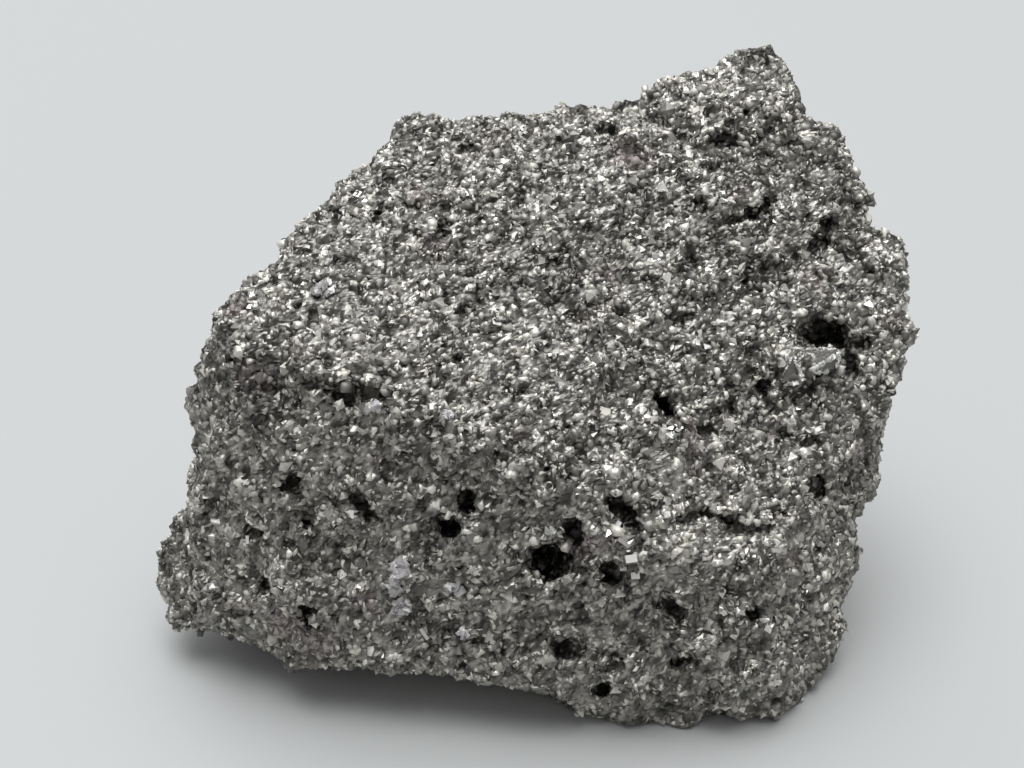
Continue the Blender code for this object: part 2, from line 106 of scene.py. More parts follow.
# Hollows and cracks of the front: half width as seen in the picture, depth in millimetres, and the line
# that each follows, as columns and rows of the picture.
HOLLOWS = (
    (12.5, 2.5, ((819, 333), (831, 336))), (6, 1.4, ((845, 346), (866, 342))),
    (7, 1.0, ((848, 358), (852, 372))), (4, 1.2, ((727, 219), (742, 221), (752, 215))),
    (4.5, 1.4, ((752, 215), (765, 210), (770, 200), (778, 196))), (6, 1.5, ((830, 222), (826, 238))),
    (5, 1.3, ((826, 238), (814, 247))), (9, 0.9, ((765, 270), (785, 266))),
    (5, 1.2, ((793, 250), (798, 254))), (4, 1.0, ((756, 256), (748, 268), (747, 284))),
    (4, 1.2, ((692, 246), (691, 256), (696, 263))), (4, 0.9, ((697, 297), (706, 300))),
    (5, 1.1, ((665, 318), (680, 320), (692, 315))), (4, 1.0, ((643, 330), (655, 322))),
    (6.5, 1.8, ((659, 401), (668, 409), (681, 415))), (6, 1.2, ((706, 428), (712, 429))),
    (4, 1.1, ((716, 412), (724, 407), (733, 406))), (4.5, 1.8, ((764, 385), (766, 398), (772, 408))),
    (5.5, 1.5, ((770, 405), (776, 411))), (4, 1.0, ((783, 426), (790, 436))),
    (6, 0.9, ((750, 353), (757, 350))), (5, 1.0, ((885, 383), (889, 396))),
    (4, 1.0, ((843, 203), (862, 204))), (3.5, 0.8, ((880, 300), (885, 312))),
    (3, 0.9, ((850, 478), (852, 492), (851, 506))), (4.5, 0.9, ((800, 442), (818, 441))),
    (5.5, 1.4, ((820, 480), (822, 497))), (4, 1.2, ((812, 490), (832, 493))),
    (4, 1.0, ((826, 470), (830, 478))), (4.5, 1.6, ((607, 496), (616, 506))),
    (9, 2.2, ((625, 511), (631, 517))), (5, 1.6, ((633, 522), (638, 534), (640, 548))),
    (4.5, 1.6, ((672, 523), (690, 518), (703, 515), (728, 518))), (6.5, 1.8, ((729, 520), (736, 528))),
    (4.5, 1.4, ((745, 531), (758, 531), (770, 528))), (8, 1.8, ((572, 530), (576, 537))),
    (15, 2.2, ((545, 560), (556, 562))), (7, 1.8, ((545, 573), (547, 577))),
    (8.5, 1.8, ((606, 570), (611, 576))), (5, 1.5, ((655, 602), (668, 603), (675, 612), (682, 619))),
    (5.5, 1.2, ((748, 616), (757, 613))), (8.5, 1.4, ((561, 648), (569, 646))),
    (3, 1.0, ((579, 606), (582, 616))), (4.5, 1.3, ((673, 665), (682, 662), (690, 661))),
    (3.5, 1.0, ((622, 661), (610, 671))), (6.5, 1.3, ((600, 693), (608, 689))),
    (4, 1.0, ((732, 665), (735, 678))), (6, 0.8, ((722, 643), (732, 641))),
    (6.5, 1.4, ((284, 487), (291, 482))), (4, 1.1, ((297, 490), (299, 500))),
    (3.5, 1.0, ((207, 505), (215, 497))), (4, 1.1, ((241, 532), (258, 533))),
    (3.5, 1.0, ((245, 537), (246, 541))), (5, 1.8, ((354, 496), (361, 503), (366, 512), (370, 516))),
    (3.5, 1.0, ((307, 515), (307, 527))), (7.5, 1.9, ((468, 499), (469, 507))),
    (7.5, 1.8, ((447, 527), (453, 529))), (3.5, 1.2, ((437, 520), (446, 524))),
    (3.5, 1.0, ((418, 503), (425, 500))), (4.5, 1.4, ((265, 579), (264, 591))),
    (3.5, 1.0, ((273, 606), (275, 616))), (4.5, 1.3, ((304, 610), (315, 611))),
    (4, 1.2, ((304, 617), (308, 627))), (4.5, 1.0, ((451, 622), (456, 629))),
    (2.8, 0.8, ((440, 617), (446, 614))), (3, 0.9, ((461, 642), (470, 641), (481, 643))),
    (5, 0.7, ((310, 558), (312, 563))), (3, 0.9, ((345, 645), (346, 653))),
    (3, 0.8, ((319, 641), (321, 646))), (3.5, 0.8, ((162, 571), (165, 575))),
    (3, 0.8, ((172, 608), (180, 612))), (2.5, 0.8, ((216, 598), (219, 603))),
    (3, 0.8, ((244, 467), (249, 476))), (2.8, 1.0, ((303, 384), (315, 385), (326, 387))),
    (4.5, 1.4, ((326, 388), (338, 396), (350, 400))), (9, 0.8, ((350, 390), (368, 393))),
    (4.5, 1.3, ((376, 393), (384, 398), (392, 407))), (4, 0.8, ((348, 436), (358, 434))),
    (4, 0.6, ((385, 429), (415, 427))), (3, 0.9, ((452, 346), (460, 348))),
    (3, 0.9, ((458, 356), (466, 362))), (3, 0.8, ((330, 357), (328, 366))),
    (2.8, 0.8, ((384, 349), (389, 352))), (3, 0.8, ((292, 335), (298, 332))),
    (2.8, 0.8, ((500, 395), (508, 396), (521, 396))), (4, 0.9, ((465, 303), (463, 314))),
    (3.5, 0.8, ((448, 300), (447, 306))), (4, 0.8, ((307, 327), (312, 322))),
    (4, 0.9, ((213, 342), (215, 351))), (3, 0.8, ((508, 306), (506, 312))),
    (4, 1.2, ((381, 203), (378, 211), (376, 217))), (2.5, 0.8, ((382, 206), (400, 206))),
    (4.5, 1.3, ((407, 205), (418, 203))), (3, 1.0, ((444, 203), (448, 212), (446, 222))),
    (4.5, 1.5, ((444, 226), (441, 234))), (3, 1.0, ((441, 234), (434, 239))),
    (2.8, 0.8, ((440, 250), (440, 259))), (4, 1.2, ((465, 149), (472, 146))),
    (3.5, 0.9, ((460, 182), (466, 179))), (2.5, 0.7, ((414, 175), (430, 178))),
    (3, 0.8, ((505, 128), (507, 132))), (3.5, 1.1, ((521, 193), (518, 203))),
    (3, 0.8, ((513, 210), (504, 217))), (3, 0.7, ((503, 186), (509, 187))),
    (6, 1.3, ((606, 125), (613, 128))), (4, 0.8, ((598, 134), (604, 138))),
    (8, 0.7, ((627, 150), (634, 152))), (4, 0.9, ((681, 137), (689, 137))),
    (3.5, 0.7, ((558, 160), (563, 162))), (4, 0.8, ((637, 190), (644, 186))),
    (4, 0.8, ((681, 170), (684, 177))), (3.5, 0.8, ((586, 224), (591, 227))),
    (3, 0.8, ((556, 283), (561, 285))), (4, 0.7, ((590, 303), (600, 305))),
    (4, 0.9, ((708, 112), (714, 108))), (3, 0.8, ((660, 90), (666, 88))),
    (5, 0.9, ((727, 130), (729, 122))), (5.5, 1.4, ((712, 140), (722, 140), (735, 142))),
    (4, 0.8, ((745, 112), (755, 110))), (4, 0.7, ((770, 90), (777, 91))),
    (5, 0.6, ((762, 117), (775, 119))), (4.5, 1.1, ((764, 133), (770, 130))),
    (4, 1.0, ((786, 144), (792, 141))), (3.5, 0.9, ((763, 158), (768, 158))),
    (4, 0.7, ((826, 136), (832, 137))), (3.5, 0.8, ((762, 173), (774, 175))),
    (3.5, 0.8, ((806, 185), (812, 187))), (4, 0.9, ((741, 54), (748, 64), (744, 74))),
)

# A hollow this deep, in millimetres, or deeper gets full painted shade all through.
FULL_PAINTED_SHADE_DEPTH = 1.3

# Where a hollow's side and its painted shade begin and end, from its line outwards in half widths.
HOLLOW_SIDE = (0.4, 1.2)
HOLLOW_PAINTED_SHADE = (0.35, 1.0)

# How far a hollow reaches from where its line begins, and how far from the eye the skin may turn there: -1
# faces the eye, and 1 faces away from it.
HOLLOW_REACH = 12 * MM
HOLLOW_TURN = 0.3

# What makes the rims of hollows and pits ragged: strength in half widths, size, and seed.
RIM_NOISE = ((0.4, 1.1 * MM, 5), (0.25, 0.5 * MM, 6))

# Little pits all over, and larger ones where the picture doesn't reach: how many, their least and greatest
# radius and depth, and whether they keep to the hidden sides.
PITS = (
    (340, (0.25 * MM, 0.5 * MM), (0.4 * MM, 0.9 * MM), False),
    (60, (0.5 * MM, 1.2 * MM), (0.8 * MM, 2.0 * MM), True),
)

# Where a pit's side begins and ends, and how far it can reach, in radii.
PIT_SIDE = (0.4, 1.3)
PIT_REACH = 2

# Pits lie at least this high, and a side is hidden where the skin turns at least this far from the eye.
PIT_FOOT = 2 * MM
HIDDEN_TURN = -0.1

# Broad patches of darker and lighter metal on the front, partly the metal's own tone and partly painted
# light and shade, such as the shaded band under a ledge and the lit peak: middle, half width and half
# height in the picture, and how much darker or lighter.
TONE_AND_LIGHT_PATCHES = (
    (250, 385, 52, 48, -0.22), (730, 88, 75, 34, 0.22), (550, 280, 75, 24, -0.16),
    (700, 540, 90, 26, 0.2), (365, 392, 34, 14, -0.2), (768, 268, 34, 18, -0.2),
    (664, 262, 22, 18, 0.2), (655, 238, 30, 12, -0.14), (480, 400, 50, 16, 0.14),
    (560, 560, 34, 26, -0.12), (795, 415, 24, 16, 0.18), (430, 432, 46, 14, -0.14),
    (868, 480, 16, 110, -0.16), (280, 330, 40, 24, 0.12), (640, 620, 60, 30, -0.1),
    (760, 470, 60, 20, 0.06), (290, 510, 150, 130, 0.1), (560, 650, 300, 70, 0.07),
    (885, 320, 40, 120, 0.12), (700, 500, 140, 60, 0.07),
)

# Where a patch's edge begins and ends, in half widths, what makes it ragged, and how far from the eye the
# skin may turn there.
PATCH_EDGE = (0.5, 1.2)
PATCH_NOISE = ((0.5, 3.0 * MM, 8),)
PATCH_TURN = 0.2

# The grains: how far apart, their sizes, how far they are sunk, and how uneven their sides are.
GRAIN_SPACING = 0.76 * MM
GRAIN_SIZE = 0.92 * MM
GRAIN_SPREAD = 0.24
GRAIN_LIMITS = (0.55 * MM, 1.4 * MM)
GRAIN_SINK = (0.24, 0.44)
GRAIN_STRETCH = 0.15

# Grains stand at least this high, and are smaller by up to this share in the painted shade of a hollow.
GRAIN_FOOT = 0.3 * MM
HOLLOW_SHRINK = 0.5

# Irregular grains: how many shapes there are of each kind, their corners, and how far out the corners lie.
ROUNDED_KINDS = 26
ROUNDED_CORNERS = 10
SHARP_KINDS = 6
SHARP_CORNERS = 7
LOOSE_CORNERS = 8
CORNER_REACH = (0.5, 0.64)

# The most triangles of one piece of grains, and the angle below which two faces of a grain are one.
MOST_TRIANGLES = 190_000
FLAT_ANGLE = 0.01

# Regular shapes, as corners of a hull. Those of the larger crystals count to the right, up and out, as
# shares of the crystal's sizes.
BLOCK = tuple(itertools.product((-0.5, 0.5), repeat=3))
WEDGE = (
    (-0.5, -0.5, 0), (0.5, -0.3, 0), (0.5, 0.5, 0), (-0.5, 0.4, 0),
    (-0.42, -0.36, 0.14), (0.46, 0.42, 0.16),
    (-0.5, -0.5, -0.6), (0.5, -0.3, -0.6), (0.5, 0.5, -0.6), (-0.5, 0.4, -0.6),
)
PYRAMID = (
    (-0.5, -0.45, 0), (0.5, -0.42, 0), (0.05, 0.55, 0), (0, -0.12, 0.5),
    (-0.5, -0.45, -0.6), (0.5, -0.42, -0.6), (0.05, 0.55, -0.6),
)
CUBE = np.array(BLOCK) * 0.6
OCTAHEDRON = [0.72 * sign * axis for axis in np.eye(3) for sign in (-1, 1)]

# The larger crystals of the front: column, row, shape, sizes to the right, up and out in millimetres, turn
# and lean in degrees, and how far the middle lies above the crust as a share of the last size. They face
# the eye, and a lean of GLINT turns them to the light overhead.
GLINT = 13
CRYSTALS = (
    (792, 370, PYRAMID, (2.5, 2.8, 1.6), 0, 0, 0.3), (821, 361, WEDGE, (3.5, 2.6, 1.8), 0, 0, 0.3),
)
# The smaller bright crystals are of the bright metal, whose light tones are partly painted highlight.
BRIGHT_CRYSTALS = (
    (631, 559, BLOCK, (1.2, 0.8, 1.0), 8, GLINT, 0.1),
    (635, 576, BLOCK, (0.9, 0.7, 1.0), 4, GLINT, 0.1),
    (623, 569, BLOCK, (0.7, 0.4, 0.8), 5, GLINT, 0.1),
    (623, 543, BLOCK, (1.4, 0.4, 0.8), -35, GLINT, 0.1),
    (617, 527, BLOCK, (0.45, 1.2, 0.8), -25, GLINT, 0.1),
    (425, 634, BLOCK, (0.4, 1.4, 0.8), 35, GLINT, 0.1),
    (447, 634, PYRAMID, (0.9, 0.9, 0.7), 10, GLINT, 0.2),
    (445, 617, PYRAMID, (0.7, 0.8, 0.7), 0, GLINT, 0.2),
    (248, 540, BLOCK, (0.35, 0.9, 0.7), 4, GLINT, 0.1),
)

# Clusters of bright grains on the front, their light metal partly painted highlight where the front glints:
# middle, half width and half height in the picture, and how many.
CLUSTERS = (
    (283, 584, 7, 8, 8), (365, 587, 6, 4, 5), (734, 690, 5, 4, 4), (555, 530, 16, 7, 7),
    (612, 528, 22, 12, 12), (668, 520, 28, 24, 20), (785, 542, 30, 12, 12), (768, 630, 22, 10, 8),
    (740, 607, 28, 6, 7), (790, 415, 12, 10, 8), (676, 436, 13, 13, 16), (796, 450, 9, 7, 4),
    (721, 62, 14, 7, 7), (694, 134, 8, 6, 4), (724, 202, 8, 5, 4), (780, 206, 7, 4, 3),
    (770, 220, 6, 5, 3), (640, 245, 16, 12, 6), (666, 262, 16, 14, 10), (325, 512, 5, 5, 3),
    (355, 512, 5, 5, 3), (213, 588, 6, 5, 3), (741, 404, 8, 4, 4), (870, 300, 6, 16, 5),
    (365, 215, 16, 12, 6), (462, 196, 6, 5, 3), (330, 330, 14, 8, 4), (700, 160, 20, 12, 6),
    (505, 540, 10, 8, 3), (455, 470, 14, 8, 4), (590, 430, 16, 10, 5), (720, 350, 18, 12, 5),
    (260, 300, 12, 8, 4), (815, 600, 16, 18, 5), (250, 620, 16, 8, 3), (560, 200, 18, 10, 5),
    (420, 330, 16, 10, 4),
)
CLUSTER_SIZES = (0.7 * MM, 1.2 * MM)

# Lumps of dull pale mineral on the front, given in the same way, and how far they stand out of the crust.
PALE_CLUSTERS = (
    (399, 568, 9, 9, 34), (394, 585, 6, 9, 24), (401, 606, 9, 8, 34), (455, 588, 7, 4, 14),
    (463, 633, 5, 4, 10), (325, 289, 11, 7, 30), (372, 408, 4, 5, 8), (447, 415, 4, 5, 8),
)
PALE_SIZES = (0.6 * MM, 1.2 * MM)
PALE_RISE = 0.25 * MM

# Painted highlights on the edges of the two largest crystals, made as pale raised ridges: rise above the
# crust in millimetres, and line.
RIDGES = (
    (1.1, ((781, 381), (785, 371), (791, 358))), (1.1, ((792, 358), (797, 368), (801, 381))),
    (1.0, ((784, 384), (798, 383))), (1.35, ((808, 369), (820, 364), (833, 354))),
    (1.25, ((813, 368), (823, 362), (833, 357))), (1.1, ((807, 350), (820, 349), (834, 351))),
    (1.1, ((836, 352), (835, 369))), (1.0, ((812, 372), (826, 371))),
)

# Small grains make up the ridges: their sizes, and how far apart they lie in the picture.
RIDGE_SIZES = (0.42 * MM, 0.66 * MM)
RIDGE_SPACING = 2.2

# Each metal's tones, from the darkest to the brightest, and its least and greatest roughness.
# The crust's tones run darker than the grains': partly a darker ground, partly painted shade in the gaps
# between grains.
CRUST_TONES = ((0.0, (0.1, 0.096, 0.088)), (0.6, (0.32, 0.309, 0.281)), (1.0, (0.55, 0.531, 0.484)))
CRUST_GLOSS = (0.3, 0.55)
GRAIN_TONES = (
    (0.0, (0.16, 0.155, 0.142)), (0.25, (0.31, 0.299, 0.275)), (0.6, (0.545, 0.526, 0.484)),
    (0.85, (0.74, 0.715, 0.66)), (1.0, (0.9, 0.872, 0.81)),
)
GRAIN_GLOSS = (0.55, 0.82)
CRYSTAL_TONES = ((0.0, (0.26, 0.251, 0.232)), (1.0, (0.5, 0.485, 0.45)))
CRYSTAL_GLOSS = (0.3, 0.5)
# The bright metal's light tones stand partly for painted highlight where the front glints.
BRIGHT_TONES = ((0.0, (0.6, 0.585, 0.55)), (1.0, (0.9, 0.88, 0.84)))
BRIGHT_GLOSS = (0.25, 0.4)

# Painted shade in hollows, pits and seams: what darkens the crust and the grains, by how much, and
# towards which colour.
CRUST_PAINTED_SHADES = (("seam_groove_and_painted_shade", 0.55), ("hollow_painted_shade", 0.7))
GRAIN_PAINTED_SHADES = (("hollow_painted_shade", 0.72),)
PAINTED_SHADE_COLOUR = (0.016, 0.014, 0.012, 1)

# How finely the tone is mottled, and by how much, and the usual span of the noise.
TONE_NOISE = ((2200.0, 0.1), (420.0, 0.28))
NOISE_SPAN = (0.25, 0.75)

# Tarnish: how finely it is spread, where in the noise it begins and is full, its most and its colour.
STAIN_NOISE = 130.0
STAIN_LIMITS = (0.62, 0.76)
STAIN_MOST = 0.5
STAIN_COLOUR = (0.34, 0.27, 0.28, 1)

# The fine bumps of every surface: how fine and how high, and how strong on each.
BUMP_NOISE = 3600.0
BUMP_HEIGHT = 0.12 * MM
METAL_BUMP = 0.08
CRYSTAL_BUMP = 0.5
PALE_BUMP = 0.6

# The pale colours: tones of the ridges, which are painted edge highlights, and of the lumps of pale mineral,
# how finely they are mottled, and the shine.
RIDGE_HIGHLIGHT_TONES = ((0.3, (0.5, 0.49, 0.47)), (0.7, (0.85, 0.83, 0.8)))
LUMP_TONES = ((0.3, (0.37, 0.357, 0.35)), (0.7, (0.7, 0.675, 0.67)))
PALE_NOISE = 1500.0
PALE_METALLIC = 0.25
PALE_ROUGHNESS = 0.35

# The floor: half its width, its colour and its roughness.
FLOOR_HALF = 30.0
FLOOR_COLOUR = (0.48, 0.484, 0.478, 1)
FLOOR_ROUGHNESS = 0.7

# The room: brightness level with the floor and overhead, its tint, and its soft lights as direction, how
# wide in degrees, and brightness. The core of a light is this share of its width.
ROOM_LEVELS = (0.1, 0.6)
ROOM_TINT = (0.98, 1.0, 1.02, 1)
ROOM_LIGHTS = (((-0.02, 0.05, 1.0), 34, 4.8), ((-0.3, 0.7, 0.7), 28, 1.3))
LIGHT_CORE = 0.3

# How far a face's corners lie from the middle of its cell on the map, as a share of the cell.
CELL_REACH = 0.42


def new_mesh_object(name, mesh):
    obj = bpy.data.objects.new(name, mesh)
    bpy.context.scene.collection.objects.link(obj)
    return obj


def applied(obj):
    """A new mesh that holds the object with its modifiers applied. The object is removed."""
    bpy.context.view_layer.update()
    graph = bpy.context.evaluated_depsgraph_get()
    mesh = bpy.data.meshes.new_from_object(obj.evaluated_get(graph), depsgraph=graph)
    bpy.data.objects.remove(obj)
    return mesh


def remeshed(mesh, voxel, smoothing):
    """The mesh's shape in small, even, four-sided faces, softened."""
    source = new_mesh_object("source", mesh)
    remesh = source.modifiers.new("even faces", "REMESH")
    remesh.mode = "VOXEL"
    remesh.voxel_size = voxel
    smooth = source.modifiers.new("soften", "SMOOTH")
    smooth.factor = SOFTENING
    smooth.iterations = smoothing
    return applied(source)


def read(items, name, kind, width):
    """One property of all these items, as an array with a row for each item."""
    values = np.empty(len(items) * width, kind)
    items.foreach_get(name, values)
    return values.reshape(-1, width)


def four_sided_faces(mesh):
    return read(mesh.loops, "vertex_index", np.int32, 1).reshape(-1, 4)


def points_and_normals(mesh):
    points = read(mesh.vertices, "co", np.float32, 3).astype(float)
    normals = read(mesh.vertices, "normal", np.float32, 3).astype(float)
    return points, normals


def unit(rows):
    """Each row made one long. A row of zeros stays as it is."""
    return rows / np.maximum(np.linalg.norm(rows, axis=1, keepdims=True), NO_LENGTH)


def smoothstep(low, high, value):
    """A smooth rise from 0 at the low value to 1 at the high one."""
    share = np.clip((value - low) / (high - low), 0, 1)
    return share * share * (3 - 2 * share)


def fading(low, high, value):
    """A smooth fall from 1 at the low value to 0 at the high one."""
    return 1 - smoothstep(low, high, value)


def noise_at(points, size, seed):
    """Smooth noise from -1 to 1 at each point, with bumps of about this size."""
    shift = Vector([seed * step for step in NOISE_STEPS])
    return np.array([noise.noise(Vector(point) / size + shift) for point in points.tolist()])


def ragged_edge(points, waves):
    """How far an edge wanders at each point. The waves are given as strength, size and seed."""
    return sum(strength * noise_at(points, size, seed) for strength, size, seed in waves)


def picture_of(points):
    """The picture's column and row where the camera sees each point."""
    offset = points - np.array(EYE)
    depth = offset @ np.array(FORWARD)
    column = COLUMNS / 2 + FOCAL * (offset @ np.array(RIGHT)) / depth
    row = ROWS / 2 - FOCAL * (offset @ np.array(UP)) / depth
    return column, row


def seen(tree, column, row):
    """The place on the body that the picture shows at this column and row, or None past its outline."""
    sight = FORWARD + RIGHT * ((column - COLUMNS / 2) / FOCAL) + UP * ((ROWS / 2 - row) / FOCAL)
    return tree.ray_cast(EYE, sight.normalized())[0]


def line_distance(column, row, line):
    """Each point's distance in the picture from a line through these places."""
    best = np.full(len(column), np.inf)
    spots = np.stack([column, row], 1)
    for start, end in zip(line, line[1:]):
        start, run = np.array(start, float), np.subtract(end, start)
        share = np.clip((spots - start) @ run / (run @ run), 0, 1)
        best = np.minimum(best, np.linalg.norm(spots - start - share[:, None] * run, axis=1))
    return best


class Cells:
    """Space cut into random cells: each point's nearest and second nearest centre, and their lots."""

    def __init__(self, points, size, seed):
        draw = np.random.default_rng(seed)
        self.table = draw.random((LOTS, LOT_COLUMNS))
        order = draw.permutation(LOTS)
        home = np.floor(points / size).astype(np.int64)
        count = len(points)
        self.away = np.full((2, count), np.inf)
        self.centre = np.zeros((2, count, 3))
        self.lot = np.zeros((2, count), np.int64)
        for shift in itertools.product((-1, 0, 1), repeat=3):
            cell = home + np.array(shift)
            lot = order[(order[(order[cell[:, 0] % LOTS] + cell[:, 1]) % LOTS] + cell[:, 2]) % LOTS]
            centre = (cell + self.table[lot, CENTRE]) * size
            away = np.linalg.norm(points - centre, axis=1)
            first = away < self.away[0]
            second = ~first & (away < self.away[1])
            for held, value in ((self.away, away), (self.centre, centre), (self.lot, lot)):
                held[1][first] = held[0][first]
                held[0][first] = value[first]
                held[1][second] = value[second]

    def edge(self):
        """How far each point lies from the edge of its cell, from 0 on the edge."""
        return self.away[1] - self.away[0]

    def tones(self):
        return self.table[self.lot[0], TONE]


def facet_height(cells, points, height, slope):
    """How far each point stands out: every cell is a tilted plane, and a higher one overlaps a lower."""
    planes = []
    for side in (0, 1):
        lots = cells.table[cells.lot[side]]
        tilt = (slope * 2 * (lots[:, TILT] - 0.5) * (points - cells.centre[side])).sum(1)
        planes.append(height * 2 * (lots[:, HEIGHT] - 0.5) + tilt)
    return np.maximum(planes[0], planes[1] - FACET_FALL * cells.edge())


def scattered_pits(points, normals):
    """Where the little pits lie, and their radius and depth."""
    draw = np.random.default_rng(SEED)
    pits = []
    for count, radii, depths, hidden in PITS:
        room = points[:, 2] > PIT_FOOT
        if hidden:
            room &= normals @ np.array(FORWARD) > HIDDEN_TURN
        for place in draw.choice(points[room], count, replace=False):
            pits.append((place, draw.uniform(*radii), draw.uniform(*depths)))
    return pits


def dug(tree, pits, points, normals):
    """How far each point of the skin sinks, and how much painted shade it gets there, from 0 to 1."""
    column, row = picture_of(points)
    ragged = ragged_edge(points, RIM_NOISE)
    sink, painted_shade = np.zeros(len(points)), np.zeros(len(points))
    front = normals @ np.array(FORWARD) < HOLLOW_TURN
    # Each hollow sinks the skin and paints shade into it, the more the deeper it is.
    for width, depth, line in HOLLOWS:
        place = seen(tree, *line[0])
        if place is None:
            continue
        near = front & (np.linalg.norm(points - np.array(place), axis=1) < HOLLOW_REACH)
        reach = line_distance(column[near], row[near], line) / width + ragged[near]
        shade = fading(*HOLLOW_PAINTED_SHADE, reach) * min(1, depth / FULL_PAINTED_SHADE_DEPTH)
        sink[near] = np.maximum(sink[near], fading(*HOLLOW_SIDE, reach) * depth * MM)
        painted_shade[near] = np.maximum(painted_shade[near], shade)
    # Each pit sinks the skin and paints shade into it as well.
    for place, radius, depth in pits:
        away = np.linalg.norm(points - place, axis=1)
        near = away < PIT_REACH * radius
        share = fading(*PIT_SIDE, away[near] / radius + ragged[near])
        sink[near] = np.maximum(sink[near], share * depth)
        painted_shade[near] = np.maximum(painted_shade[near], share * min(1, depth / MM / FULL_PAINTED_SHADE_DEPTH))
    return sink, painted_shade


def tone_and_light_patches(points, normals):
    """How much darker or lighter the metal is in broad patches, partly its own tone, partly painted light
    and shade.
    """
    column, row = picture_of(points)
    ragged = ragged_edge(points, PATCH_NOISE)
    front = normals @ np.array(FORWARD) < PATCH_TURN
    tone = np.zeros(len(points))
    for across, down, width, height, amount in TONE_AND_LIGHT_PATCHES:
        reach = np.hypot((column - across) / width, (row - down) / height) + ragged
        # Each patch lightens or darkens the tone: painted light and shade in some, the metal's own tone in
        # others.
        tone += np.where(front, amount * fading(*PATCH_EDGE, reach), 0)
    return tone


def cutting_ways(normals):
    """The way out of a hollow at each point: out of the skin, on the front halfway towards the eye."""
    front = normals @ np.array(FORWARD) < 0
    return unit(normals - np.array(FORWARD) * front[:, None])


def hollowed_skin():
    """The crust's smooth base with the hollows cut: its mesh, points, directions out and shader values."""
    mesh = remeshed(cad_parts[NODE].data.copy(), SKIN_VOXEL, SKIN_SMOOTHING)
    points, normals = points_and_normals(mesh)
    tree = BVHTree.FromPolygons(points.tolist(), four_sided_faces(mesh).tolist())
    pits = scattered_pits(points, normals)
    sink, _ = dug(tree, pits, points, normals)
    cut = points - cutting_ways(normals) * sink[:, None]
    mesh.vertices.foreach_set("co", cut.ravel().astype(np.float32))
    mesh.update()
    mesh = remeshed(mesh, CRUST_VOXEL, CRUST_SMOOTHING)
    points, normals = points_and_normals(mesh)
    # Painted shade of the hollows and pits at the crust's points.
    _, painted_shade = dug(tree, pits, points, normals)
    return mesh, points, normals, {"hollow_painted_shade": painted_shade, "tone_and_painted_light": tone_and_light_patches(points, normals)}


def outward(points, faces):
    """The direction out of the surface at each point, averaged over the faces round it."""
    first, second = points[faces[:, 2]] - points[faces[:, 0]], points[faces[:, 3]] - points[faces[:, 1]]
    across = np.repeat(np.cross(first, second), 4, axis=0)
    total = np.stack([np.bincount(faces.ravel(), across[:, axis], len(points)) for axis in range(3)], 1)
    return unit(total)


def crust_data():
    """The crust's points, four-sided faces and directions out, and the shader's values at its points."""
    mesh, points, normals, layers = hollowed_skin()
    faces = four_sided_faces(mesh)
    rise = np.full(len(points), -INSET)
    for number, (size, height) in enumerate(SWELLS, 1):
        rise += height * noise_at(points, size, number)
    for number, (size, height, slope) in enumerate(FACETS):
        cells = Cells(points, size, SEED + number)
        rise += facet_height(cells, points, height, slope)
        layers[f"lot_{number}"] = cells.tones()
        if number == SEAM_LEVEL:
            # A seam is sunk a little, and the crust's shader paints shade along it.
            layers["seam_groove_and_painted_shade"] = fading(0, SEAM_WIDTH, cells.edge())
            rise -= SEAM_DEPTH * layers["seam_groove_and_painted_shade"]
    calm = smoothstep(0, FOOT, points[:, 2])
    moved = points + normals * (rise * calm)[:, None]
    moved[:, 2] = np.maximum(moved[:, 2], 0)
    return moved, faces, outward(moved, faces), layers


def halves(points, faces):
    """The faces in front of and above the cut, then those behind and below it."""
    along = points[faces].mean(1) @ np.array(CUT_ALONG)
    return np.split(np.argsort(along, kind="stable"), [int(CUT_SHARE * len(faces))])


def rim_edges(faces):
    """The edges that only one of these faces has, each turned as a closing triangle needs it."""
    edges = np.concatenate([faces[:, [k, (k + 1) % 4]] for k in range(4)])
    _, index, count = np.unique(np.sort(edges, 1), axis=0, return_inverse=True, return_counts=True)
    return edges[count[index.ravel()] == 1][:, ::-1]


def face_cells(totals):
    """UVs that give each face a small cell of its own on the map, as a ring of corners inside the cell."""
    count = len(totals)
    side = math.ceil(math.sqrt(count))
    cell = 1 / side
    index = np.repeat(np.arange(count), totals)
    starts = np.cumsum(totals) - totals
    place = np.arange(totals.sum()) - np.repeat(starts, totals)
    angle = 2 * math.pi * (place + 0.5) / np.repeat(totals, totals)
    middle = np.stack([index % side + 0.5, index // side + 0.5], 1) * cell
    return middle + CELL_REACH * cell * np.stack([np.cos(angle), np.sin(angle)], 1)


def mesh_of(name, points, loops, totals, rounded=None):
    """A mesh with all its faces' corners in one list, and how many corners each face has in another."""
    mesh = bpy.data.meshes.new(name)
    mesh.vertices.add(len(points))
    mesh.vertices.foreach_set("co", points.ravel().astype(np.float32))
    mesh.loops.add(len(loops))
    mesh.loops.foreach_set("vertex_index", loops.astype(np.int32))
    mesh.polygons.add(len(totals))
    mesh.polygons.foreach_set("loop_start", (np.cumsum(totals) - totals).astype(np.int32))
    mesh.update(calc_edges=True)
    mesh.polygons.foreach_set("use_smooth", np.zeros(len(totals), bool) if rounded is None else rounded)
    layer = mesh.uv_layers.new(name="OFBake")
    layer.data.foreach_set("uv", face_cells(totals).ravel().astype(np.float32))
    return mesh


def add_layers(mesh, layers):
    """Values for the shader at each point of the mesh."""
    for name, values in layers.items():
        mesh.attributes.new(name, "FLOAT", "POINT").data.foreach_set("value", values.astype(np.float32))


